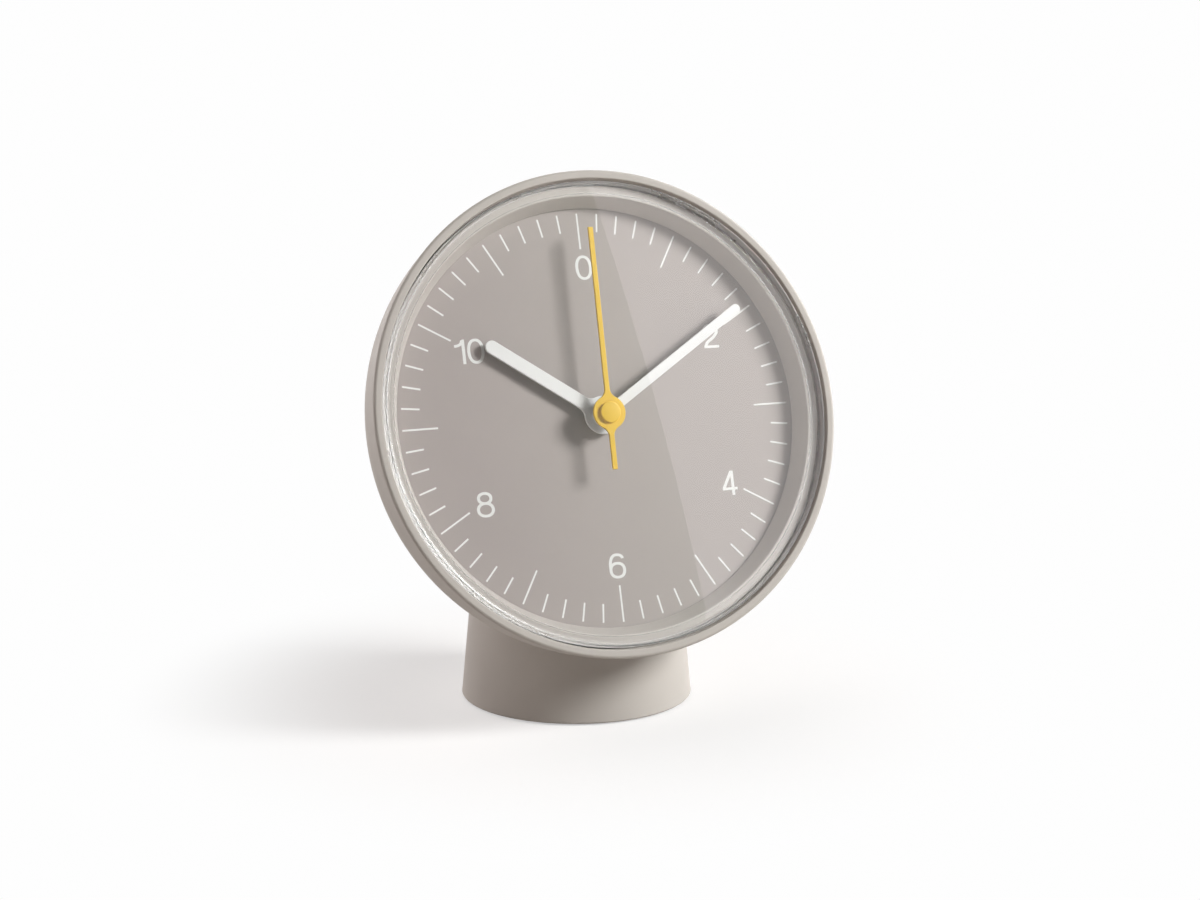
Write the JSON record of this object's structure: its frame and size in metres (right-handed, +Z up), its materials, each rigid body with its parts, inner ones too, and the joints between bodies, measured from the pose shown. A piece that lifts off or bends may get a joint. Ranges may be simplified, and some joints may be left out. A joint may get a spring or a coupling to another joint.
{
  "type": "table clock",
  "caption": "Quartz table clock: round bowl-shaped case leaning back on a low cone foot, clear domed lens, turning hands, geared movement and a cell that slides out at the back.",
  "frame": {"origin": "centre of the underside of the base pad, on the table", "axes": "+Z up, -Y towards the person who reads the dial, +X to the dial's right"},
  "size_m": [0.1322, 0.0792, 0.148],
  "materials": {
    "case_plastic": "warm light grey, fine satin",
    "dial_print": "matt warm grey with thin white ticks and numbers",
    "lens_clear": "clear polished plastic",
    "hand_white": "matt white",
    "hand_yellow": "matt yellow",
    "movement_black": "moulded black",
    "inner_plastic": "moulded off-white",
    "gear_plastic": "natural acetal",
    "brass": "turned",
    "steel": "plain",
    "copper_wire": "enamelled copper winding",
    "board_green": "solder resist",
    "cell_label": "plain printed sleeve",
    "rubber": "matt"
  },
  "bodies": {
    "clock_body": {"case_shell": "case_plastic", "dial_ring": "case_plastic", "lens": "lens_clear", "dial_plate": "dial_print", "foot": "case_plastic", "base_plate": "inner_plastic", "base_pad": "rubber", "foot_screw_1": "steel", "foot_screw_2": "steel", "rear_cover": "case_plastic", "rear_cover_screw_1": "steel", "rear_cover_screw_2": "steel", "rear_cover_screw_3": "steel", "movement_front": "movement_black", "movement_back": "movement_black", "middle_plate": "inner_plastic", "dial_nut": "brass", "rubber_washer": "rubber", "stator": "steel", "coil": "copper_wire", "coil_core": "steel", "circuit_board": "board_green", "quartz_crystal": "steel", "contact_positive": "steel", "contact_negative": "steel"},
    "second_arbor": {"second_hand": "hand_yellow", "second_wheel": "gear_plastic"},
    "third_arbor": {"third_wheel": "gear_plastic"},
    "intermediate_arbor": {"intermediate_wheel": "gear_plastic"},
    "rotor_arbor": {"rotor": "steel"},
    "centre_arbor": {"centre_wheel": "brass"},
    "minute_works": {"minute_hand": "hand_white", "minute_arbor": "brass"},
    "motion_works": {"motion_wheel": "gear_plastic"},
    "hour_works": {"hour_hand": "hand_white", "hour_wheel": "gear_plastic"},
    "knob": {"setting_knob": "movement_black"},
    "cell": {"aa_cell": "cell_label"}
  },
  "joints": [
    {"name": "second_turn", "type": "hinge", "parent": "clock_body", "child": "second_arbor", "pos_m": [0, -0.01736, 0.0824], "axis": [0, 0.9516, -0.3074], "continuous": true},
    {"name": "minute_turn", "type": "hinge", "parent": "clock_body", "child": "minute_works", "pos_m": [0, -0.01736, 0.0824], "axis": [0, 0.9516, -0.3074], "continuous": true},
    {"name": "third_turn", "type": "hinge", "parent": "clock_body", "child": "third_arbor", "pos_m": [0.0049, -0.01475, 0.09048], "axis": [0, 0.9516, -0.3074], "continuous": true},
    {"name": "intermediate_turn", "type": "hinge", "parent": "clock_body", "child": "intermediate_arbor", "pos_m": [-0.00947, -0.0163, 0.08568], "axis": [0, 0.9516, -0.3074], "continuous": true},
    {"name": "rotor_turn", "type": "hinge", "parent": "clock_body", "child": "rotor_arbor", "pos_m": [-0.01541, -0.01447, 0.09133], "axis": [0, 0.9516, -0.3074], "continuous": true},
    {"name": "centre_turn", "type": "hinge", "parent": "clock_body", "child": "centre_arbor", "pos_m": [0, -0.01736, 0.0824], "axis": [0, 0.9516, -0.3074], "continuous": true},
    {"name": "motion_turn", "type": "hinge", "parent": "clock_body", "child": "motion_works", "pos_m": [0.0094, -0.01736, 0.0824], "axis": [0, 0.9516, -0.3074], "continuous": true},
    {"name": "hour_turn", "type": "hinge", "parent": "clock_body", "child": "hour_works", "pos_m": [0, -0.01736, 0.0824], "axis": [0, 0.9516, -0.3074], "continuous": true},
    {"name": "knob_turn", "type": "hinge", "parent": "clock_body", "child": "knob", "pos_m": [0.01866, -0.01786, 0.08085], "axis": [0, 0.9516, -0.3074], "continuous": true},
    {"name": "cell_slide", "type": "slide", "parent": "clock_body", "child": "cell", "axis": [0, 0.9516, -0.3074], "range_m": [0, 0.02]}
  ],
  "couplings": [
    {"joint": "rotor_turn", "follows": "second_turn", "ratio": 30},
    {"joint": "intermediate_turn", "follows": "second_turn", "ratio": -5},
    {"joint": "third_turn", "follows": "second_turn", "ratio": -0.125},
    {"joint": "centre_turn", "follows": "second_turn", "ratio": 0.016667},
    {"joint": "motion_turn", "follows": "minute_turn", "ratio": -0.33333},
    {"joint": "hour_turn", "follows": "minute_turn", "ratio": 0.083333},
    {"joint": "knob_turn", "follows": "minute_turn", "ratio": 1}
  ]
}
